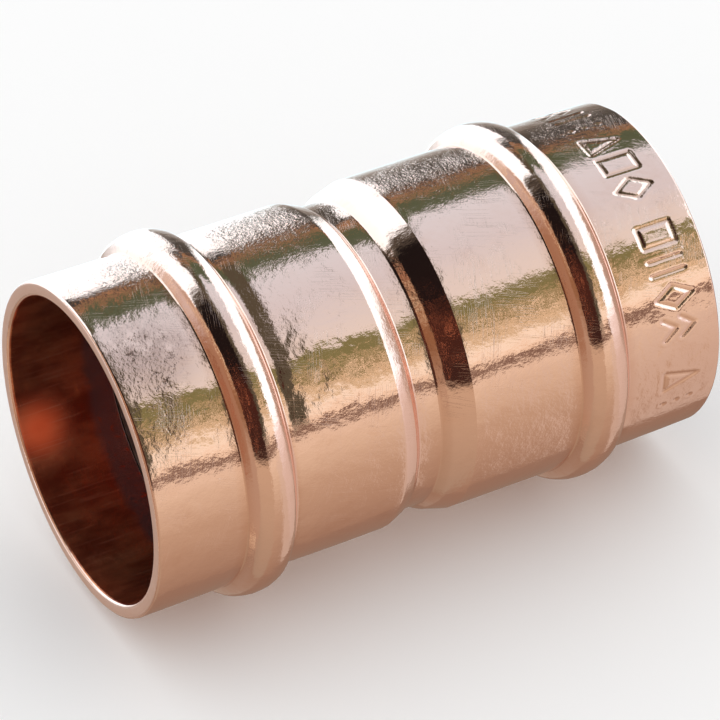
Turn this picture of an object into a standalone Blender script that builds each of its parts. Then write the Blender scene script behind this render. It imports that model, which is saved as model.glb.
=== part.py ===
"""Straight solder-ring coupling for 22 mm copper tube, lying along X.

The copper body is one length of tube, formed: a collar, a bead and a barrel on each
side of a stop that is rolled in round the middle. A ring of solder sits inside each
bead. Metres, +Z up, and the origin is the middle of the coupling's axis.
"""

import math

import bmesh
import bpy
from mathutils import Matrix, Vector

MM = 0.001

# Body
LENGTH = 44.2 * MM
BORE = 11.05 * MM
LEFT_MOUTH = 12.13 * MM
RIGHT_MOUTH = 11.9 * MM
COLLAR = 12.05 * MM
LEFT_BARREL = 11.95 * MM
RIGHT_BARREL = 12.12 * MM
MOUTH_OUTER_FILLET = 0.2 * MM
MOUTH_INNER_FILLET = 0.3 * MM

# Beads: a foot, a shoulder and an apex on the outside, and a channel on the inside
LEFT_BEAD_X = -13.45 * MM
RIGHT_BEAD_X = 12.65 * MM
FOOT_REACH = 1.87 * MM
FOOT_FILLET = 0.4 * MM
SHOULDER_REACH = 1.45 * MM
SHOULDER = 12.8 * MM
SHOULDER_FILLET = 0.9 * MM
APEX = 13.4 * MM
APEX_FILLET = 2.5 * MM
CHANNEL_REACH = 1.3 * MM
CHANNEL_FLOOR = 12.2 * MM
CHANNEL_FLOOR_REACH = 0.85 * MM
CHANNEL_FILLET = 0.4 * MM

# Stop: (place along the axis, depth, fillet) of each corner, from the right barrel to
# its deepest run, and from there to the left barrel. The wall keeps its thickness, so
# the same depths count from the barrels outside and from the bore inside.
STOP_RIGHT = (
    (2.38 * MM, 0.0, 0.15 * MM),
    (0.78 * MM, 0.47 * MM, 1.2 * MM),
    (0.25 * MM, 0.95 * MM, 0.9 * MM),
)
STOP_LEFT = (
    (-1.65 * MM, 0.78 * MM, 0.3 * MM),
    (-2.05 * MM, 0.39 * MM, 0.4 * MM),
    (-3.05 * MM, 0.0, 0.8 * MM),
)

# Solder rings
RING_INSIDE = 11.1 * MM
RING_OUTSIDE = 12.0 * MM
RING_REACH = 1.1 * MM
RING_OUTSIDE_REACH = 0.68 * MM
RING_INSIDE_FILLET = 0.1 * MM
RING_OUTSIDE_FILLET = 0.3 * MM

STEPS_AROUND = 48
ARC_STEP = math.radians(31)
MERGE = 0.001 * MM

COPPER = ((0.93, 0.60, 0.48, 1.0), 0.12)
SOLDER = ((0.42, 0.42, 0.42, 1.0), 0.45)


def clear_scene():
    for obj in list(bpy.data.objects):
        bpy.data.objects.remove(obj, do_unlink=True)


def rounded(corners):
    """The points of a closed outline of (x, radius, fillet) corners, an arc at each fillet."""
    outline = []
    for index, (x, radius, fillet) in enumerate(corners):
        corner = Vector((x, radius))
        back = (Vector(corners[index - 1][:2]) - corner).normalized()
        ahead = (Vector(corners[(index + 1) % len(corners)][:2]) - corner).normalized()
        if not fillet:
            outline.append(corner)
            continue
        turn = math.pi - back.angle(ahead)
        way = math.copysign(turn, ahead.x * back.y - ahead.y * back.x)
        centre = corner + (back + ahead).normalized() * fillet / math.cos(turn / 2)
        spoke = corner + back * fillet * math.tan(turn / 2) - centre
        segments = math.ceil(turn / ARC_STEP)
        for step in range(segments + 1):
            outline.append(centre + Matrix.Rotation(way * step / segments, 2) @ spoke)
    return outline


def bead(middle, right_wall, left_wall):
    """The outside of a bead, from its right foot to its left one."""
    return [
        (middle + FOOT_REACH, right_wall, FOOT_FILLET),
        (middle + SHOULDER_REACH, SHOULDER, SHOULDER_FILLET),
        (middle, APEX, APEX_FILLET),
        (middle - SHOULDER_REACH, SHOULDER, SHOULDER_FILLET),
        (middle - FOOT_REACH, left_wall, FOOT_FILLET),
    ]


def channel(middle):
    """The channel inside a bead, from left to right."""
    return [
        (middle - CHANNEL_REACH, BORE, 0.0),
        (middle - CHANNEL_FLOOR_REACH, CHANNEL_FLOOR, CHANNEL_FILLET),
        (middle + CHANNEL_FLOOR_REACH, CHANNEL_FLOOR, CHANNEL_FILLET),
        (middle + CHANNEL_REACH, BORE, 0.0),
    ]


def stop(right_wall, left_wall):
    """The stop's corners from right to left, sunk from these two walls."""
    right = [(x, right_wall - depth, fillet) for x, depth, fillet in STOP_RIGHT]
    left = [(x, left_wall - depth, fillet) for x, depth, fillet in STOP_LEFT]
    return right + left


def body_corners():
    outside = [
        (LENGTH / 2, RIGHT_MOUTH, MOUTH_OUTER_FILLET),
        *bead(RIGHT_BEAD_X, COLLAR, RIGHT_BARREL),
        *stop(RIGHT_BARREL, LEFT_BARREL),
        *bead(LEFT_BEAD_X, LEFT_BARREL, COLLAR),
        (-LENGTH / 2, LEFT_MOUTH, MOUTH_OUTER_FILLET),
    ]
    inside = [
        (-LENGTH / 2, BORE, MOUTH_INNER_FILLET),
        *channel(LEFT_BEAD_X),
        *reversed(stop(BORE, BORE)),
        *channel(RIGHT_BEAD_X),
        (LENGTH / 2, BORE, MOUTH_INNER_FILLET),
    ]
    return outside + inside


def ring_corners(middle):
    return [
        (middle + RING_REACH, RING_INSIDE, RING_INSIDE_FILLET),
        (middle + RING_OUTSIDE_REACH, RING_OUTSIDE, RING_OUTSIDE_FILLET),
        (middle - RING_OUTSIDE_REACH, RING_OUTSIDE, RING_OUTSIDE_FILLET),
        (middle - RING_REACH, RING_INSIDE, RING_INSIDE_FILLET),
    ]


def metal(name, base_color, roughness):
    material = bpy.data.materials.new(name)
    material.use_nodes = True
    shader = material.node_tree.nodes["Principled BSDF"]
    shader.inputs["Base Color"].default_value = base_color
    shader.inputs["Metallic"].default_value = 1.0
    shader.inputs["Roughness"].default_value = roughness
    return material


def turned(name, corners, material, collection):
    """A body turned round X. Its outline is drawn up Z and spun, then laid along X."""
    mesh = bpy.data.meshes.new(name)
    shape = bmesh.new()
    points = [shape.verts.new((radius, 0.0, x)) for x, radius in rounded(corners)]
    for point, following in zip(points, points[1:] + points[:1]):
        shape.edges.new((point, following))
    shape.to_mesh(mesh)
    shape.free()
    mesh.materials.append(material)

    obj = bpy.data.objects.new(name, mesh)
    collection.objects.link(obj)
    obj.rotation_euler = (0.0, math.pi / 2, 0.0)
    screw = obj.modifiers.new("Turn", "SCREW")
    screw.angle = 2 * math.pi
    screw.steps = STEPS_AROUND
    screw.render_steps = STEPS_AROUND
    screw.use_merge_vertices = True
    screw.merge_threshold = MERGE
    screw.use_smooth_shade = True
    return obj


def build():
    clear_scene()
    collection = bpy.data.collections.new("solder_ring_coupling")
    bpy.context.scene.collection.children.link(collection)
    copper = metal("formed_copper", *COPPER)
    solder = metal("solder", *SOLDER)
    turned("coupling_body", body_corners(), copper, collection)
    turned("solder_ring_left", ring_corners(LEFT_BEAD_X), solder, collection)
    turned("solder_ring_right", ring_corners(RIGHT_BEAD_X), solder, collection)


build()
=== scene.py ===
"""Solder-ring coupling for 22 mm copper tube: the finished piece on a pale studio floor."""

import math

import bmesh
import bpy
from bpy.props import FloatProperty, FloatVectorProperty, IntProperty, PointerProperty
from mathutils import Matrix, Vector, noise


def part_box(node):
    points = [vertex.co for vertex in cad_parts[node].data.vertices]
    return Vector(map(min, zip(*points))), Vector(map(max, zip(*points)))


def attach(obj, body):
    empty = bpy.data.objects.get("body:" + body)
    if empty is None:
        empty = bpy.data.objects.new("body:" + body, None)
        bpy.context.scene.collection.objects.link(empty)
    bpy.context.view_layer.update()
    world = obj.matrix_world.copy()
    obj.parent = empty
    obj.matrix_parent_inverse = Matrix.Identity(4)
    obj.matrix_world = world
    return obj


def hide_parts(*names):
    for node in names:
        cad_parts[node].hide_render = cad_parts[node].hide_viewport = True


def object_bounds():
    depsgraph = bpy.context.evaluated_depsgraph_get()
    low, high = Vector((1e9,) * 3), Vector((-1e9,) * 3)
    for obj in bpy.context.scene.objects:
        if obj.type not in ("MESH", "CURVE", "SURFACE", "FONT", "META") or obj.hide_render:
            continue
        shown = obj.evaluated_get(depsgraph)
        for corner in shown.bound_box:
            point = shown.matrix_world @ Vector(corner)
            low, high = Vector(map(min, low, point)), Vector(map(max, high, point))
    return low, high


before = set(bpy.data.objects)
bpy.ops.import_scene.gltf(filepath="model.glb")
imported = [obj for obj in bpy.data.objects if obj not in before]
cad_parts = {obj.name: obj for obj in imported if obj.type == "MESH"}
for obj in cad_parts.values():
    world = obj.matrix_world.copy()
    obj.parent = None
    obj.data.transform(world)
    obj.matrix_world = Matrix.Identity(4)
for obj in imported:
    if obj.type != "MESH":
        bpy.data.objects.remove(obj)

bl_info = {
    "name": "Solder Ring Coupling",
    "version": (1, 0, 0),
    "blender": (4, 5, 0),
    "location": "3D View > Sidebar > Coupling",
    "description": "Makes a formed copper coupling, its solder rings and a studio to see it in",
    "category": "Object",
}

CAD_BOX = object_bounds()
BODY_LOW, BODY_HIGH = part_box("coupling_body")
RING_BOXES = {side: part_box("solder_ring_" + side) for side in ("left", "right")}

MM = 0.001
AXIS = (1.0, 0.0, 0.0)
CENTRE = (0.0, 0.0, 0.0)
MERGE = 0.001 * MM
BODY_SPACING = 0.8 * MM
BODY_ARC_STEP = math.radians(10)
BORE_TOLERANCE = 0.05 * MM
MOUTH_OUTER_FILLET = 0.2 * MM
MOUTH_INNER_FILLET = 0.3 * MM
LEFT_BEAD_X = sum(corner.x for corner in RING_BOXES["left"]) / 2
RIGHT_BEAD_X = sum(corner.x for corner in RING_BOXES["right"]) / 2

# Stop: (place along the axis, depth under the barrel, fillet) of each corner
STOP_RIGHT = (
    (2.38 * MM, 0.0, 0.15 * MM),
    (0.78 * MM, 0.47 * MM, 1.2 * MM),
    (0.12 * MM, 0.95 * MM, 0.35 * MM),
)
STOP_LEFT = (
    (-1.65 * MM, 0.78 * MM, 0.3 * MM),
    (-2.05 * MM, 0.39 * MM, 0.4 * MM),
    (-3.05 * MM, 0.0, 0.8 * MM),
)

# Beads: a foot, a shoulder and an apex on the outside, and a channel on the inside
FOOT_REACH = 1.87 * MM
RIGHT_FOOT_FILLET = 0.3 * MM
LEFT_FOOT_FILLET = 0.2 * MM
SHOULDER_REACH = 1.45 * MM
SHOULDER_FILLET = 0.9 * MM
APEX_FILLET = 2.5 * MM
CHANNEL_MOUTH_REACH = 1.11 * MM
CHANNEL_MOUTH_FILLET = 0.05 * MM
CHANNEL_FLOOR_REACH = 0.85 * MM
CHANNEL_FLOOR = 12.2 * MM
CHANNEL_FLOOR_FILLET = 0.4 * MM

# The left barrel dips beside its bead: depth, and where the dip's floor and its slope end
DIP = 0.1 * MM
DIP_FLOOR_REACH = 2.35 * MM
DIP_FLOOR_FILLET = 2.0 * MM
DIP_REACH = 3.4 * MM
DIP_FILLET = 5.0 * MM

# Depths in millimetres that the formed walls wander under their true form
WALL_WAVES = 0.03
WALL_DENTS = 0.05

# Solder rings
RING_STEPS = 192
RING_SPACING = 0.25 * MM
RING_ARC_STEP = math.radians(20)
RING_GAP = 0.05 * MM
RING_INSIDE_FILLET = 0.12 * MM
RING_OUTSIDE_FILLET = 0.3 * MM
RING_OUTSIDE_SHARE = 0.62
RING_LUMP = 0.05 * MM

# Layers of the body's vertices that its material reads
SKIN_LAYERS = ("bore", "cut", "crease", "mark")

# Punch marks: strokes in millimetres, the first number round the collar and the second along it
MARK_PITCH = math.radians(10.8)
MARK_MIDDLE = 18.85
MARK_REACH = 1.6
STROKE_HALF_WIDTH = 0.23
BARS = (((-0.5, -1.3), (-0.5, 1.3)), ((0.5, -1.3), (0.5, 1.3)))
LOZENGE = (
    ((0.0, -1.4), (0.8, 0.0)),
    ((0.8, 0.0), (0.0, 1.4)),
    ((0.0, 1.4), (-0.8, 0.0)),
    ((-0.8, 0.0), (0.0, -1.4)),
)
WEDGE = (((-0.8, -1.3), (0.8, -1.3)), ((0.8, -1.3), (0.0, 1.3)), ((0.0, 1.3), (-0.8, -1.3)))
ARROWS = (
    ((-0.75, -1.2), (0.0, -0.2)),
    ((0.0, -0.2), (0.75, -1.2)),
    ((-0.75, 0.2), (0.0, 1.2)),
    ((0.0, 1.2), (0.75, 0.2)),
)
FRAME = (
    ((-0.75, -1.3), (0.75, -1.3)),
    ((0.75, -1.3), (0.75, 1.3)),
    ((0.75, 1.3), (-0.75, 1.3)),
    ((-0.75, 1.3), (-0.75, -1.3)),
)
DOTS = (((0.0, -1.1), (0.0, -1.1)), ((0.0, 0.0), (0.0, 0.0)), ((0.0, 1.1), (0.0, 1.1)))
# (angle of the first mark from the top of the collar, the marks in order)
MARK_GROUPS = (
    (-30.0, (ARROWS, BARS, DOTS, WEDGE, FRAME, LOZENGE)),
    (42.0, (FRAME, BARS, LOZENGE, ARROWS)),
    (95.0, (WEDGE, DOTS)),
    (150.0, (LOZENGE, BARS, FRAME, WEDGE)),
    (222.0, (ARROWS, DOTS, BARS)),
)
# From and to along the axis: the run of the collar that is punched, and the finer mesh round it
PUNCHED = (17.0 * MM, 20.8 * MM)
FINER_MESH = (16.6 * MM, 21.2 * MM)

# Patches on the copper: (centre, inner and outer distance, strength), in millimetres
SCUFF = (((-19.2, -5.5, 10.6), 0.5, 4.6, 1.0),)
WORN_TOPS = (
    ((-15.5, 3.0, 11.8), 1.5, 5.0, 1.0),
    ((-6.5, 2.0, 11.9), 1.5, 6.5, 1.0),
    ((6.5, 2.5, 11.9), 1.5, 7.0, 1.0),
    ((18.0, 2.0, 11.8), 1.0, 6.0, 1.0),
    ((-19.5, -9.0, 7.6), 0.5, 3.5, 0.7),
)
UNEVEN_WALLS = (
    ((-8.5, -8.8, 8.2), 2.0, 6.0, 1.0),
    ((-19.5, -8.4, 8.6), 1.0, 5.0, 1.0),
    ((19.5, -8.0, 8.8), 1.0, 5.5, 1.0),
)
# Painted reflection: a red patch inside the left socket, redder and less metallic, standing in for
# light reflected deep in the bore
PAINTED_GLOW_PATCH = (((-20.6, 9.6, -5.4), 0.3, 3.4, 1.0),)

SETTLED_DIRT = (0.34, 0.2, 0.16)
MARK_FLOOR = (0.62, 0.33, 0.2)
BURNT_OXIDE = (0.4, 0.1, 0.05)
# Colour of the painted red glow in the bore, a painted reflection
PAINTED_GLOW_RED = (1.0, 0.15, 0.05)
DRAWN_LINE = (0.95, 0.5, 0.34)
FLUX = (0.3, 0.24, 0.26)
FLUX_SPECK = (0.6, 0.16, 0.08)
SOLDER_SKIN = (0.14, 0.1, 0.09)

# The point that the camera looks at, in millimetres
AIM = Vector((-0.21, -0.15, -0.3))


class Value:
    """A socket's value. Arithmetic on it adds Math nodes."""

    def __init__(self, graph, socket):
        self.graph = graph
        self.socket = socket

    def __add__(self, other):
        return self.graph.math("ADD", self, other)

    __radd__ = __add__

    def __sub__(self, other):
        return self.graph.math("SUBTRACT", self, other)

    def __rsub__(self, other):
        return self.graph.math("SUBTRACT", other, self)

    def __mul__(self, other):
        return self.graph.math("MULTIPLY", self, other)

    __rmul__ = __mul__

    def __truediv__(self, other):
        return self.graph.math("DIVIDE", self, other)

    def __neg__(self):
        return self * -1.0

    def __abs__(self):
        return self.graph.math("ABSOLUTE", self)

    def step(self, low, high):
        """0 below low and 1 above high, with a smooth rise between them."""
        limits = {"Value": self, "From Min": low, "From Max": high}
        return self.graph.add("MapRange", {"interpolation_type": "SMOOTHSTEP"}, limits)

    def between(self, start, full, still_full, end):
        """1 from full to still_full, with a smooth fall to 0 at start and at end."""
        return self.step(start, full) * (1.0 - self.step(still_full, end))


class Graph:
    """The node tree of a material or of the world."""

    def __init__(self, tree):
        self.tree = tree
        self.tree.nodes.clear()

    def add(self, kind, settings=None, inputs=None, output=0):
        """A new node with its settings made, its sockets filled, and one output given back."""
        node = self.tree.nodes.new("ShaderNode" + kind)
        for name, setting in (settings or {}).items():
            if name == "stops":
                fill_ramp(node.color_ramp, setting)
            else:
                setattr(node, name, setting)
        for name, value in (inputs or {}).items():
            if isinstance(value, Value):
                self.tree.links.new(value.socket, node.inputs[name])
            else:
                node.inputs[name].default_value = value
        return Value(self, node.outputs[output]) if node.outputs else None

    def math(self, operation, *values):
        return self.add("Math", {"operation": operation}, dict(enumerate(values)))

    def mix(self, factor, first, second):
        """From the first colour at 0 to the second at 1."""
        colours = {6: opaque(first), 7: opaque(second)}
        return self.add("Mix", {"data_type": "RGBA"}, {0: factor, **colours}, output=2)

    def parts(self, vector):
        """The three values of a vector or a colour."""
        split = self.add("SeparateXYZ", None, {0: vector})
        return [Value(self, socket) for socket in split.socket.node.outputs]

    def vector(self, *values):
        return self.add("CombineXYZ", None, dict(enumerate(values)))

    def stretched(self, vector, size, turn=0.0, move=0.0):
        """The vector turned about Z and measured in features of this size."""
        place = {
            "Vector": vector,
            "Location": (move, move, move),
            "Rotation": (0.0, 0.0, turn),
            "Scale": size,
        }
        return self.add("Mapping", {"vector_type": "TEXTURE"}, place)

    def near(self, vector, centre, inner, outer):
        """1 within the inner distance of the centre, 0 past the outer one."""
        gap = self.add("VectorMath", {"operation": "DISTANCE"}, {0: vector, 1: centre}, output=1)
        return 1.0 - gap.step(inner, outer)

    def patches(self, vector, spots):
        """The sum of soft round patches of (centre, inner and outer distance, strength)."""
        return sum(
            self.near(vector, centre, inner, outer) * strength
            for centre, inner, outer, strength in spots
        )

    def noise(self, vector, detail=1.0, roughness=0.5):
        inputs = {"Vector": vector, "Scale": 1.0, "Detail": detail, "Roughness": roughness}
        return self.add("TexNoise", None, inputs)

    def speckle(self, vector, size, move=0.0, detail=1.0, roughness=0.5):
        """Noise with round features of this size."""
        return self.noise(self.stretched(vector, (size,) * 3, 0.0, move), detail, roughness)


def opaque(colour):
    """The colour with full alpha, or the value as it is."""
    return colour if isinstance(colour, Value) else (*colour[:3], 1.0)


def fill_ramp(ramp, stops):
    """Stops are (place from 0 to 1, colour)."""
    while len(ramp.elements) < len(stops):
        ramp.elements.new(1.0)
    for element, (place, colour) in zip(ramp.elements, stops):
        element.position = place
        element.color = opaque(colour)


class CouplingShape(bpy.types.PropertyGroup):
    """Sizes of the formed body"""

    bore: FloatProperty(
        name="Bore", description="Radius of both sockets", default=11.05 * MM, unit="LENGTH"
    )
    left_mouth: FloatProperty(
        name="Left mouth", description="Radius outside at the left end",
        default=12.13 * MM, unit="LENGTH",
    )
    right_mouth: FloatProperty(
        name="Right mouth", description="Radius outside at the right end",
        default=11.9 * MM, unit="LENGTH",
    )
    collar: FloatProperty(
        name="Collar", description="Radius of each collar beside its bead",
        default=12.05 * MM, unit="LENGTH",
    )
    left_barrel: FloatProperty(
        name="Left barrel", description="Radius between the left bead and the stop",
        default=11.95 * MM, unit="LENGTH",
    )
    right_barrel: FloatProperty(
        name="Right barrel", description="Radius between the stop and the right bead",
        default=12.12 * MM, unit="LENGTH",
    )
    bead_apex: FloatProperty(
        name="Bead apex", description="Radius where a bead's two slopes would meet",
        default=13.4 * MM, unit="LENGTH",
    )
    bead_shoulder: FloatProperty(
        name="Bead shoulder", description="Radius where a bead's side turns into its top",
        default=12.8 * MM, unit="LENGTH",
    )
    steps: IntProperty(
        name="Steps", description="Facets round the body", default=220, min=32
    )
    mark_depth: FloatProperty(
        name="Mark depth", description="Depth of the punch marks",
        default=0.065 * MM, unit="LENGTH",
    )


class CouplingFinish(bpy.types.PropertyGroup):
    """Colours of the metals"""

    copper: FloatVectorProperty(
        name="Copper", description="Bright copper", subtype="COLOR", size=3,
        default=(0.955, 0.638, 0.538), min=0.0, max=1.0,
    )
    # Painted shade: the material darkens the copper towards this colour near every crease; in the
    # random stains it is real tarnish
    tarnish_and_crease_shade: FloatVectorProperty(
        name="Tarnish and crease shade", description="Copper in creases and stains", subtype="COLOR", size=3,
        default=(0.78, 0.42, 0.29), min=0.0, max=1.0,
    )
    bore: FloatVectorProperty(
        name="Bore", description="Oxidised copper inside the sockets", subtype="COLOR", size=3,
        default=(0.72, 0.27, 0.13), min=0.0, max=1.0,
    )
    solder: FloatVectorProperty(
        name="Solder", description="Dull solder", subtype="COLOR", size=3,
        default=(0.3, 0.28, 0.29), min=0.0, max=1.0,
    )


class CouplingStage(bpy.types.PropertyGroup):
    """The floor, the camera and what surrounds them"""

    floor: FloatVectorProperty(
        name="Floor", description="Colour of the floor", subtype="COLOR", size=3,
        default=(0.94, 0.94, 0.94), min=0.0, max=1.0,
    )
    azimuth: FloatProperty(
        name="Azimuth", description="Camera's turn from the front towards the left",
        default=math.radians(28.95), subtype="ANGLE",
    )
    elevation: FloatProperty(
        name="Elevation", description="Camera's height above the level",
        default=math.radians(38.28), subtype="ANGLE",
    )
    distance: FloatProperty(
        name="Distance", description="From the camera to the point it looks at",
        default=0.3456, unit="LENGTH",
    )
    lens: FloatProperty(
        name="Lens", description="Focal length in millimetres", default=246.9, min=1.0
    )


def bead(middle, shape, right_wall, left_wall):
    """The corners of a bead's outside, from its right foot to its left one."""
    return [
        (middle + FOOT_REACH, right_wall, RIGHT_FOOT_FILLET),
        (middle + SHOULDER_REACH, shape.bead_shoulder, SHOULDER_FILLET),
        (middle, shape.bead_apex, APEX_FILLET),
        (middle - SHOULDER_REACH, shape.bead_shoulder, SHOULDER_FILLET),
        (middle - FOOT_REACH, left_wall, LEFT_FOOT_FILLET),
    ]


def channel(middle, shape):
    """The corners of the channel inside a bead, from left to right."""
    return [
        (middle - CHANNEL_MOUTH_REACH, shape.bore, CHANNEL_MOUTH_FILLET),
        (middle - CHANNEL_FLOOR_REACH, CHANNEL_FLOOR, CHANNEL_FLOOR_FILLET),
        (middle + CHANNEL_FLOOR_REACH, CHANNEL_FLOOR, CHANNEL_FLOOR_FILLET),
        (middle + CHANNEL_MOUTH_REACH, shape.bore, CHANNEL_MOUTH_FILLET),
    ]


def stop(right_wall, left_wall):
    """The stop's corners from right to left, sunk from these two walls."""
    right = [(x, right_wall - depth, fillet) for x, depth, fillet in STOP_RIGHT]
    left = [(x, left_wall - depth, fillet) for x, depth, fillet in STOP_LEFT]
    return right + left


def body_corners(shape):
    """The body's whole outline: outside from right to left, then inside back again."""
    dipped = shape.left_barrel - DIP
    outside = [
        (BODY_HIGH.x, shape.right_mouth, MOUTH_OUTER_FILLET),
        *bead(RIGHT_BEAD_X, shape, shape.collar, shape.right_barrel),
        *stop(shape.right_barrel, shape.left_barrel),
        (LEFT_BEAD_X + DIP_REACH, shape.left_barrel, DIP_FILLET),
        (LEFT_BEAD_X + DIP_FLOOR_REACH, dipped, DIP_FLOOR_FILLET),
        *bead(LEFT_BEAD_X, shape, dipped, shape.collar),
        (BODY_LOW.x, shape.left_mouth, MOUTH_OUTER_FILLET),
    ]
    inside = [
        (BODY_LOW.x, shape.bore, MOUTH_INNER_FILLET),
        *channel(LEFT_BEAD_X, shape),
        *reversed(stop(shape.bore, shape.bore)),
        *channel(RIGHT_BEAD_X, shape),
        (BODY_HIGH.x, shape.bore, MOUTH_INNER_FILLET),
    ]
    return outside + inside


def draw_outline(mesh, corners, spacing, arc_step, plain_below=0.0):
    """A closed wire of (x, radius, fillet) corners in the XZ plane, each corner rounded.

    Straight runs are divided, and those under the radius plain_below only a third as finely.
    """
    points = [mesh.verts.new((x, 0.0, radius)) for x, radius, _ in corners]
    for point, following in zip(points, points[1:] + points[:1]):
        mesh.edges.new((point, following))
    spots = [point.co.copy() for point in points]
    for index, (point, (_, _, fillet)) in enumerate(zip(points, corners)):
        back = spots[index - 1] - spots[index]
        ahead = spots[(index + 1) % len(spots)] - spots[index]
        turn = math.pi - back.angle(ahead)
        bmesh.ops.bevel(
            mesh, geom=[point], affect="VERTICES", offset_type="OFFSET", material=-1,
            offset=fillet * math.tan(turn / 2), profile=0.5,
            segments=max(2, math.ceil(turn / arc_step)),
        )
    for edge in list(mesh.edges):
        plain = all(vert.co.z < plain_below for vert in edge.verts)
        cuts = math.ceil(edge.calc_length() / spacing / (3 if plain else 1)) - 1
        if cuts:
            bmesh.ops.subdivide_edges(mesh, edges=[edge], cuts=cuts)


def turn_about_axis(mesh, steps):
    """The outline spun into a closed shell with its normals outwards."""
    bmesh.ops.spin(
        mesh, geom=mesh.verts[:] + mesh.edges[:], cent=CENTRE, axis=AXIS, dvec=CENTRE,
        angle=2 * math.pi, steps=steps, use_merge=True,
    )
    bmesh.ops.remove_doubles(mesh, verts=mesh.verts[:], dist=MERGE)
    bmesh.ops.recalc_face_normals(mesh, faces=mesh.faces[:])


def finish_piece(name, mesh, material, node):
    """The piece as an object that rides on the root body in place of its plain solid."""
    for face in mesh.faces:
        face.smooth = True
    data = bpy.data.meshes.new(name)
    mesh.to_mesh(data)
    mesh.free()
    data.materials.append(material)
    piece = bpy.data.objects.new(name, data)
    bpy.context.scene.collection.objects.link(piece)
    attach(piece, "root")
    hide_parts(node)
    return piece


def polar(point):
    """Radius, and angle from the top towards the front."""
    return math.hypot(point.y, point.z), math.atan2(-point.y, point.z)


def sink_vertex(vert, radius, depth):
    """The vertex moved towards the axis, from its present radius."""
    scale = (radius - depth) / radius
    vert.co.y *= scale
    vert.co.z *= scale


def stroke_gap(spot, start, end):
    """Distance from a spot to a stroke, both in the plane of the mark."""
    run = end - start
    share = (spot - start).dot(run) / run.length_squared if run.length_squared else 0.0
    return (spot - start - run * min(1.0, max(0.0, share))).length


def punched_marks():
    """Each mark's angle and strokes, the strokes as pairs of points."""
    marks = []
    for first, group in MARK_GROUPS:
        for index, strokes in enumerate(group):
            angle = math.radians(first) + index * MARK_PITCH
            moved = [
                [Vector((across, MARK_MIDDLE + along)) for across, along in stroke]
                for stroke in strokes
            ]
            marks.append((angle, moved))
    return marks


def stroke_profile(gap):
    """Depth across a stroke from 0 to 1, with a low burr raised on both sides."""
    share = gap / STROKE_HALF_WIDTH
    burr_end = 2.2
    if share < 1.0:
        return (1.0 - share * share) ** 2
    if share < burr_end:
        return -0.16 * math.sin(math.pi * (share - 1.0) / (burr_end - 1.0))
    return 0.0


def mark_depth(x, angle, radius, marks):
    """Depth of the punch marks at a place on the collar: 1 at the deepest, under 0 on a burr."""
    deepest = 0.0
    for middle, strokes in marks:
        across = math.remainder(angle - middle, 2 * math.pi) * radius / MM
        if abs(across) > MARK_REACH:
            continue
        spot = Vector((across, x / MM))
        nearest = min(stroke_gap(spot, *stroke) for stroke in strokes)
        found = stroke_profile(nearest)
        deepest = found if abs(found) > abs(deepest) else deepest
    return deepest


def crease_share(x):
    """How close a place along the axis is to a bead's foot or to the stop's sides, from 0 to 1."""
    width = 0.28 * MM
    creases = [-1.85 * MM, 0.35 * MM]
    for middle in (LEFT_BEAD_X, RIGHT_BEAD_X):
        creases += [middle - 1.9 * MM, middle + 1.9 * MM]
    return max(math.exp(-(((x - crease) / width) ** 2)) for crease in creases)


def wall_sink(x, angle):
    """How far the outer wall lies under its true form, in metres: never above it."""
    place = Vector((x / MM, 12.0 * math.sin(angle), 12.0 * math.cos(angle)))
    waves = 0.5 + 0.5 * noise.noise(place * 0.28)
    dents = max(0.0, noise.noise(place * 0.85 + Vector((7.0, 3.0, 5.0))) - 0.25)
    return (WALL_WAVES * waves + WALL_DENTS * dents) * MM


class COUPLING_OT_body(bpy.types.Operator):
    """Forms the copper body and punches its marks"""

    bl_idname = "coupling.body"
    bl_label = "Formed Body"

    def execute(self, context):
        shape = context.scene.coupling_shape
        mesh = bmesh.new()
        bore_skin = shape.bore + BORE_TOLERANCE
        draw_outline(
            mesh, body_corners(shape), BODY_SPACING, BODY_ARC_STEP, shape.bore + 0.1 * MM
        )
        turn_about_axis(mesh, shape.steps)

        band = [
            edge for edge in mesh.edges
            if all(FINER_MESH[0] < vert.co.x < FINER_MESH[1] for vert in edge.verts)
            and all(polar(vert.co)[0] > bore_skin for vert in edge.verts)
        ]
        bmesh.ops.subdivide_edges(mesh, edges=band, cuts=4, use_grid_fill=True)

        layers = mesh.verts.layers.float
        bore, cut, crease, mark = (layers.new(name) for name in SKIN_LAYERS)
        marks = punched_marks()
        for vert in mesh.verts:
            radius, angle = polar(vert.co)
            if radius < bore_skin:
                vert[bore] = 1.0
                continue
            vert[cut] = float(abs(vert.co.x) > BODY_HIGH.x - 0.01 * MM)
            # The material paints shade in the creases by this layer, and roughens them a little
            vert[crease] = crease_share(vert.co.x)
            sink = wall_sink(vert.co.x, angle)
            if PUNCHED[0] < vert.co.x < PUNCHED[1]:
                vert[mark] = mark_depth(vert.co.x, angle, radius, marks)
                sink += vert[mark] * shape.mark_depth
            sink_vertex(vert, radius, sink)
        finish_piece(
            "formed_body", mesh, copper_material(context.scene.coupling_finish),
            "coupling_body",
        )
        return {"FINISHED"}


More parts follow.
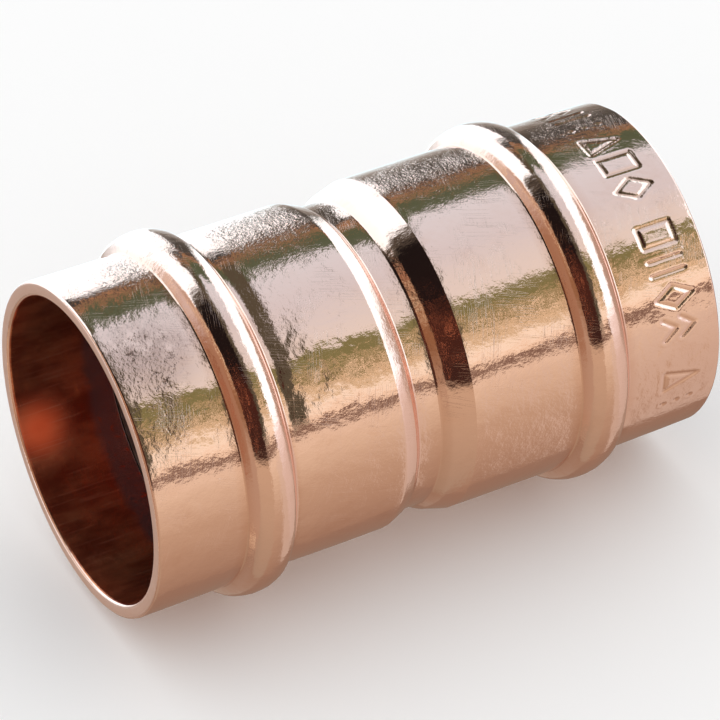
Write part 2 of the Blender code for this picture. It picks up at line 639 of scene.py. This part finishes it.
class COUPLING_OT_solder_rings(bpy.types.Operator):
    """Casts a solder ring into the channel of each bead"""

    bl_idname = "coupling.solder_rings"
    bl_label = "Solder Rings"

    def execute(self, context):
        material = solder_material(context.scene.coupling_finish)
        inside = context.scene.coupling_shape.bore + RING_GAP
        for side, (low, high) in RING_BOXES.items():
            middle = (low.x + high.x) / 2
            reach = (high.x - low.x) / 2
            outside_reach = RING_OUTSIDE_SHARE * reach
            mesh = bmesh.new()
            corners = [
                (middle + reach, inside, RING_INSIDE_FILLET),
                (middle + outside_reach, high.z, RING_OUTSIDE_FILLET),
                (middle - outside_reach, high.z, RING_OUTSIDE_FILLET),
                (middle - reach, inside, RING_INSIDE_FILLET),
            ]
            draw_outline(mesh, corners, RING_SPACING, RING_ARC_STEP)
            turn_about_axis(mesh, RING_STEPS)
            for vert in mesh.verts:
                radius, _ = polar(vert.co)
                if radius < inside + 0.2 * MM:
                    lump = 0.5 + 0.5 * noise.noise(vert.co / MM * 1.1)
                    sink_vertex(vert, radius, -RING_LUMP * lump)
            name = "solder_ring_" + side
            finish_piece("cast_" + name, mesh, material, name)
        return {"FINISHED"}


def new_material(name):
    """A material and the graph of its emptied node tree."""
    material = bpy.data.materials.new(name)
    material.use_nodes = True
    return material, Graph(material.node_tree)


def finish_material(graph, values):
    """The principled shader with these values, joined to the material's output."""
    shader = graph.add("BsdfPrincipled", None, values)
    graph.add("OutputMaterial", None, {"Surface": shader})


def place_in_mm(graph):
    """Place on a piece in millimetres."""
    place = graph.add("TexCoord", output=3)
    return graph.add("VectorMath", {"operation": "SCALE"}, {0: place, "Scale": 1 / MM})


def flat_skin(graph, place, radius=12.1):
    """The turned skin laid flat in millimetres: along the axis, and round it from the top."""
    x, y, z = graph.parts(place)
    return graph.vector(x, graph.math("ARCTAN2", -y, z) * radius, 0.0)


def scratches(graph, skin, length, width, turn, move, sharpness):
    """Thin lines, 1 on a line and 0 off it, running long one way and broken up by patches."""
    lines = graph.noise(graph.stretched(skin, (width, length, 1.0), turn, move), 0.0)
    patches = graph.speckle(skin, 3.0, move + 9.0)
    return (1.0 - abs(lines - 0.5).step(0.0, sharpness)) * patches.step(0.5, 0.62)


def pinholes(graph, place):
    """Small round pits, 1 at the middle of a pit and 0 off it, in some of the cells."""
    cells = graph.add(
        "TexVoronoi", {"feature": "F1"},
        {"Vector": graph.stretched(place, (0.7, 0.7, 0.7), 0.0, 5.0), "Scale": 1.0},
    )
    luck = graph.parts(Value(graph, cells.socket.node.outputs["Color"]))[0]
    return (1.0 - cells.step(0.04, 0.16)) * luck.step(0.6, 0.65)


def copper_relief(graph, place, skin, etched, specks):
    """The skin's fine relief, as a height in millimetres."""
    uneven = graph.patches(place, UNEVEN_WALLS)
    grain = graph.speckle(place, 0.22, 0.0, 2.0, 0.6)
    hammered = graph.speckle(place, 0.85, 2.0)
    waves = graph.speckle(place, 2.6, 3.0, 0.0)
    steep_lines = scratches(graph, skin, 4.0, 0.14, 0.3, 0.0, 0.012)
    level_lines = scratches(graph, skin, 6.0, 0.2, -1.2, 3.0, 0.01)
    return (
        grain * (0.009 + etched * 0.015)
        + hammered * (0.02 + uneven * 0.016)
        + waves * (0.02 + uneven * 0.085)
        - specks * etched * 0.008
        - pinholes(graph, place) * etched * 0.006
        - (steep_lines + level_lines) * 0.002
    )


def socket_colour(graph, finish, place, skin, painted_glow, broken, blots):
    """Oxidised copper with burnt patches, a painted red glow that stands in for light reflected in the
    bore, drawing lines and flux stain.
    """
    x = graph.parts(place)[0]
    burnt = graph.noise(graph.stretched(place, (5.0, 2.0, 2.0), 0.0, 1.0), 3.0, 0.6)
    drawn = graph.noise(graph.stretched(skin, (5.0, 0.16, 1.0), 0.0, 4.0), 0.0)
    fluxed = (x + broken * 1.2).step(-16.2, -15.4) * (1.0 - x.step(-14.4, -14.2))
    colour = graph.mix(burnt.step(0.35, 0.65), finish.bore, BURNT_OXIDE)
    colour = graph.mix(painted_glow * 0.9, colour, PAINTED_GLOW_RED)
    colour = graph.mix(drawn.step(0.62, 0.72) * (1.0 - painted_glow) * 0.3, colour, DRAWN_LINE)
    return graph.mix(fluxed * 0.85, colour, graph.mix(blots.step(0.6, 0.66), FLUX, FLUX_SPECK))


def copper_material(finish):
    """Bright drawn copper, with handling marks and painted shade in its creases outside, and oxide and
    a painted red glow in the bore.
    """
    material, graph = new_material("drawn_copper")
    place = place_in_mm(graph)
    skin = flat_skin(graph, place)
    bore, cut, crease, mark = (
        graph.add("Attribute", {"attribute_name": name}, output=2) for name in SKIN_LAYERS
    )
    stains = graph.speckle(place, 2.4, 0.0, 3.0, 0.6).step(0.5, 0.8)
    broken = graph.speckle(place, 2.2, 4.0, 3.0, 0.65)
    blots = graph.speckle(place, 0.55, 8.0, 3.0, 0.7)
    specks = blots.step(0.56, 0.66)
    wear = graph.speckle(place, 3.0, 7.0, 2.0).step(0.56, 0.72)
    scuff = graph.patches(place, SCUFF)
    tops = graph.patches(place, WORN_TOPS)
    # Painted reflection: a red glow patch in the bore, standing in for light reflected deep inside
    painted_glow = graph.patches(place, PAINTED_GLOW_PATCH) * bore
    etched = ((scuff + tops) * 0.62 + wear * 0.1 + broken * 0.6).step(0.45, 0.95)

    height = copper_relief(graph, place, skin, etched, specks)
    bump = graph.add("Bump", None, {"Strength": 1.0, "Distance": MM, "Height": height})

    dirt = (specks * 0.55 + 0.45) * scuff * broken.step(0.3, 0.5) + specks * etched * 0.25
    # Painted shade near the creases (crease layer), and real tarnish in random stains
    outside = graph.mix(stains * 0.2 + crease * 0.4, finish.copper, finish.tarnish_and_crease_shade)
    outside = graph.mix(dirt, outside, SETTLED_DIRT)
    outside = graph.mix(mark.step(0.2, 1.0) * 0.35, outside, MARK_FLOOR)
    inside = socket_colour(graph, finish, place, skin, painted_glow, broken, blots)
    roughness = 0.035 + etched * 0.05 + stains * 0.03 + crease * 0.03 + cut * 0.3 + bore * 0.2
    finish_material(graph, {
        "Base Color": graph.mix(bore, outside, inside),
        # The painted glow is made much less metallic, so that its red shows as diffuse colour
        "Metallic": 1.0 - bore * 0.08 - painted_glow * 0.6,
        "Roughness": roughness,
        "Normal": bump,
    })
    return material


def solder_material(finish):
    """Dull cast solder."""
    material, graph = new_material("cast_solder")
    place = place_in_mm(graph)
    skinned = graph.speckle(place, 1.6, 0.0, 4.0, 0.6)
    grain = graph.speckle(place, 0.2, 0.0, 2.0)
    height = grain * 0.01 + skinned * 0.06
    bump = graph.add("Bump", None, {"Strength": 1.0, "Distance": MM, "Height": height})
    finish_material(graph, {
        "Base Color": graph.mix(skinned.step(0.35, 0.7), finish.solder, SOLDER_SKIN),
        "Metallic": 1.0,
        "Roughness": 0.38 + skinned * 0.2,
        "Normal": bump,
    })
    return material


def degrees_ramp(graph, angle, stops):
    """A colour by angle: each stop is (degrees from -180 to 180, colour)."""
    placed = [((degrees + 180.0) / 360.0, colour) for degrees, colour in stops]
    return graph.add("ValToRGB", {"stops": placed}, {"Fac": angle / 360.0 + 0.5})


# What surrounds the coupling, by angle about its axis from straight up towards the front
BRIGHT = (1.4, 1.8, 2.0)
PALE_LIGHT = (1.05, 1.05, 1.05)
AHEAD = (
    (-180.0, (0.33, 0.23, 0.17)),
    (-137.0, (0.28, 0.19, 0.14)),
    (-131.0, (1.15, 1.5, 1.65)),
    (-118.0, (0.85, 1.0, 1.05)),
    (-108.0, (0.46, 0.5, 0.48)),
    (-98.0, (0.2, 0.2, 0.18)),
    (-88.0, (0.1, 0.11, 0.1)),
    (-60.0, (0.06, 0.07, 0.07)),
    (-57.5, (0.42, 0.27, 0.15)),
    (-53.5, (0.36, 0.24, 0.14)),
    (-51.0, (0.09, 0.14, 0.08)),
    (-34.0, (0.12, 0.17, 0.12)),
    (-31.0, (0.76, 0.95, 1.1)),
    (0.0, (0.73, 0.85, 0.95)),
    (35.0, (0.84, 0.92, 0.9)),
    (37.5, (0.24, 0.27, 0.12)),
    (44.0, (0.22, 0.23, 0.1)),
    (45.5, (0.85, 0.72, 0.45)),
    (47.5, (0.24, 0.24, 0.1)),
    (53.0, (0.22, 0.22, 0.1)),
    (55.0, (0.9, 0.78, 0.52)),
    (58.5, (0.8, 0.72, 0.5)),
    (60.0, (0.3, 0.28, 0.15)),
    (62.0, (0.9, 0.84, 0.62)),
    (70.0, (1.05, 1.08, 0.94)),
    (80.5, (0.95, 0.85, 0.66)),
    (82.5, (0.22, 0.15, 0.12)),
    (86.0, (0.24, 0.17, 0.13)),
    # From the horizon down: the floor as the metal sees it, darker towards straight down, a painted
    # shadow of the coupling on it
    (89.5, (0.86, 0.78, 0.63)),
    (100.0, (0.76, 0.67, 0.52)),
    (125.0, (0.56, 0.45, 0.33)),
    (180.0, (0.36, 0.25, 0.18)),
)
BESIDE_LEFT = (
    (-180.0, (0.36, 0.26, 0.19)),
    (-137.0, (0.42, 0.36, 0.3)),
    (-120.0, (0.5, 0.46, 0.42)),
    (-106.0, BRIGHT),
    (-28.0, BRIGHT),
    (-20.0, (0.12, 0.12, 0.1)),
    (-10.0, (0.012, 0.01, 0.01)),
    (30.0, (0.015, 0.01, 0.01)),
    (50.0, (0.07, 0.025, 0.017)),
    (85.0, (0.045, 0.022, 0.018)),
    # Painted shadow of the coupling on the floor seen in the metal, darker towards straight down
    (93.0, (0.62, 0.5, 0.36)),
    (180.0, (0.4, 0.33, 0.25)),
)
BESIDE_RIGHT = (
    (-180.0, (0.42, 0.33, 0.26)),
    (-137.0, (0.36, 0.27, 0.2)),
    (-131.0, (1.3, 1.7, 1.85)),
    (-30.0, BRIGHT),
    (70.0, BRIGHT),
    # Painted shadow of the coupling on the floor seen in the metal, darker towards straight down
    (86.0, (0.95, 0.95, 0.95)),
    (110.0, (0.75, 0.68, 0.62)),
    (180.0, (0.6, 0.52, 0.45)),
)
BEHIND = (
    (-180.0, (0.5, 0.38, 0.28)),
    (-137.0, (0.45, 0.33, 0.24)),
    (-131.0, BRIGHT),
    (-110.0, (1.1, 1.25, 1.3)),
    (-88.0, (0.72, 0.72, 0.75)),
    (-48.0, (0.58, 0.48, 0.4)),
    (-8.0, (0.42, 0.26, 0.17)),
    (20.0, (0.36, 0.2, 0.11)),
    (60.0, (0.3, 0.17, 0.09)),
    (95.0, (0.5, 0.38, 0.28)),
    (180.0, (0.5, 0.38, 0.28)),
)


def garden(graph, x, angle, leaves):
    """What lies ahead of the barrels: dark eaves, shrubs, pale sky, a hedge, a path and the ground."""
    hedge = angle.between(24.0, 36.0, 60.0, 70.0)
    eaves = angle.between(-112.0, -96.0, -34.0, -24.0)
    # The hedge's foot is lower towards the right, and the shrubs are lower at the far left
    lean = x.step(0.36, 0.4) * angle.between(42.0, 52.0, 66.0, 76.0) * 7.0
    drop = (1.0 - x.step(0.34, 0.352)) * angle.between(-80.0, -62.0, -24.0, -8.0) * 9.0
    ragged = angle - lean - drop + leaves * (5.0 + (hedge + eaves) * 22.0)
    colour = degrees_ramp(graph, ragged, AHEAD)

    gaps = hedge * leaves.step(0.02, 0.07) * angle.step(42.0, 48.0)
    colour = graph.mix(gaps * 0.85, colour, (0.95, 0.85, 0.62))
    thicket = (1.0 - x.step(0.25, 0.345)) * angle.between(-52.0, -42.0, 74.0, 86.0)
    colour = graph.mix(thicket, colour, (0.1, 0.1, 0.07))
    pale_ground = x.step(0.39, 0.46) * angle.step(88.0, 100.0) * 0.6
    colour = graph.mix(pale_ground, colour, (0.72, 0.66, 0.58))
    window = 1.0 - (x + leaves * 0.05).step(0.362, 0.378)
    window = window * (1.0 - (angle + leaves * 20.0).step(-68.0, -58.0)) * angle.step(-134.0, -131.0)
    return graph.mix(window, colour, BRIGHT)


def black_board(graph, direction, x, angle):
    """The black board beside the left end, with reddish glints low on it."""
    noisy = graph.noise(graph.stretched(direction, (0.02, 0.13, 0.13), 0.0, 6.0), 2.0)
    glints = noisy.step(0.6, 0.66) * angle.between(12.0, 40.0, 76.0, 89.0)
    glints = glints * (1.0 - x.step(-0.12, -0.02))
    return graph.mix(glints, degrees_ramp(graph, angle, BESIDE_LEFT), (0.5, 0.19, 0.1))


def brown_wall(graph, x, angle, leaves):
    """The brown wall beyond the left end, with cream showing through high up."""
    cream = leaves.step(0.0, 0.08) * (1.0 - angle.step(30.0, 50.0)) * x.step(-0.92, -0.8)
    colour = graph.mix(cream * 0.8, degrees_ramp(graph, angle, BEHIND), (0.95, 0.85, 0.6))
    return graph.mix(x.step(-0.96, -0.88), (0.4, 0.25, 0.16), colour)


def surroundings(world):
    """A garden room that only the metal sees, and plain pale light for everything else."""
    graph = Graph(world.node_tree)
    direction = graph.add("TexCoord")
    x, y, z = graph.parts(direction)
    angle = graph.math("ARCTAN2", -y, z) * math.degrees(1.0)
    leaves = graph.noise(graph.stretched(direction, (0.2, 0.07, 0.07), 0.0, 2.0), 3.0, 0.7) - 0.5

    board = black_board(graph, direction, x, angle)
    room = garden(graph, x, angle, leaves)
    room = graph.mix((x + leaves * 0.04).step(0.1, 0.16), board, room)
    room = graph.mix(x.step(0.58, 0.64), room, degrees_ramp(graph, angle, BESIDE_RIGHT))
    wall = brown_wall(graph, x, angle, leaves)
    room = graph.mix((x + leaves * 0.3).step(-0.66, -0.56), wall, room)
    room = graph.mix(x.step(0.87, 0.94), room, (0.5, 0.42, 0.35))
    seen_in_metal = graph.add("LightPath", output=3)
    colour = graph.mix(seen_in_metal, PALE_LIGHT, room)
    background = graph.add("Background", None, {"Color": colour, "Strength": 1.0})
    graph.add("OutputWorld", None, {"Surface": background})


def floor_material(colour):
    """Matt pale floor."""
    material, graph = new_material("pale_floor")
    finish_material(graph, {"Base Color": opaque(colour), "Roughness": 0.9})
    return material


class COUPLING_OT_stage(bpy.types.Operator):
    """Lays the floor, lights it and sets up the camera"""

    bl_idname = "coupling.stage"
    bl_label = "Stage"

    def execute(self, context):
        scene = context.scene
        stage = scene.coupling_stage
        mesh = bmesh.new()
        bmesh.ops.create_grid(mesh, x_segments=1, y_segments=1, size=2.0)
        bmesh.ops.translate(mesh, verts=mesh.verts[:], vec=(0.0, 0.0, CAD_BOX[0][2]))
        data = bpy.data.meshes.new("studio_floor")
        mesh.to_mesh(data)
        mesh.free()
        data.materials.append(floor_material(stage.floor))
        floor = bpy.data.objects.new("studio_floor", data)
        # Hidden from the metal: the world paints the floor, with a painted shadow of the coupling on
        # it, in its place
        floor.visible_glossy = False
        scene.collection.objects.link(floor)

        scene.world = bpy.data.worlds.new("studio_surroundings")
        scene.world.use_nodes = True
        surroundings(scene.world)

        aim = AIM * MM
        level = math.cos(stage.elevation)
        towards = Vector((
            -math.sin(stage.azimuth) * level,
            -math.cos(stage.azimuth) * level,
            math.sin(stage.elevation),
        ))
        camera = bpy.data.objects.new("studio_camera", bpy.data.cameras.new("studio_camera"))
        camera.data.lens = stage.lens
        camera.data.clip_start = 0.01
        camera.location = aim + towards * stage.distance
        camera.rotation_euler = (-towards).to_track_quat("-Z", "Y").to_euler()
        scene.collection.objects.link(camera)
        scene.camera = camera
        scene.view_settings.view_transform = "Standard"
        return {"FINISHED"}


class COUPLING_PT_sidebar(bpy.types.Panel):
    """Lists the coupling's sizes, colours and steps"""

    bl_label = "Solder Ring Coupling"
    bl_idname = "COUPLING_PT_sidebar"
    bl_space_type = "VIEW_3D"
    bl_region_type = "UI"
    bl_category = "Coupling"

    def draw(self, context):
        scene = context.scene
        for group in (scene.coupling_shape, scene.coupling_finish, scene.coupling_stage):
            box = self.layout.box()
            for name in group.__annotations__:
                box.prop(group, name)
        for operator in OPERATORS:
            self.layout.operator(operator.bl_idname)


OPERATORS = (COUPLING_OT_stage, COUPLING_OT_body, COUPLING_OT_solder_rings)
GROUPS = {
    "coupling_shape": CouplingShape,
    "coupling_finish": CouplingFinish,
    "coupling_stage": CouplingStage,
}


def register():
    for kind in (*GROUPS.values(), *OPERATORS, COUPLING_PT_sidebar):
        bpy.utils.register_class(kind)
    for name, group in GROUPS.items():
        setattr(bpy.types.Scene, name, PointerProperty(type=group))


def unregister():
    for name in GROUPS:
        delattr(bpy.types.Scene, name)
    for kind in reversed((*GROUPS.values(), *OPERATORS, COUPLING_PT_sidebar)):
        bpy.utils.unregister_class(kind)


def main():
    register()
    bpy.ops.coupling.stage()
    bpy.ops.coupling.body()
    bpy.ops.coupling.solder_rings()
    bpy.context.view_layer.update()


if __name__ == "__main__":
    main()
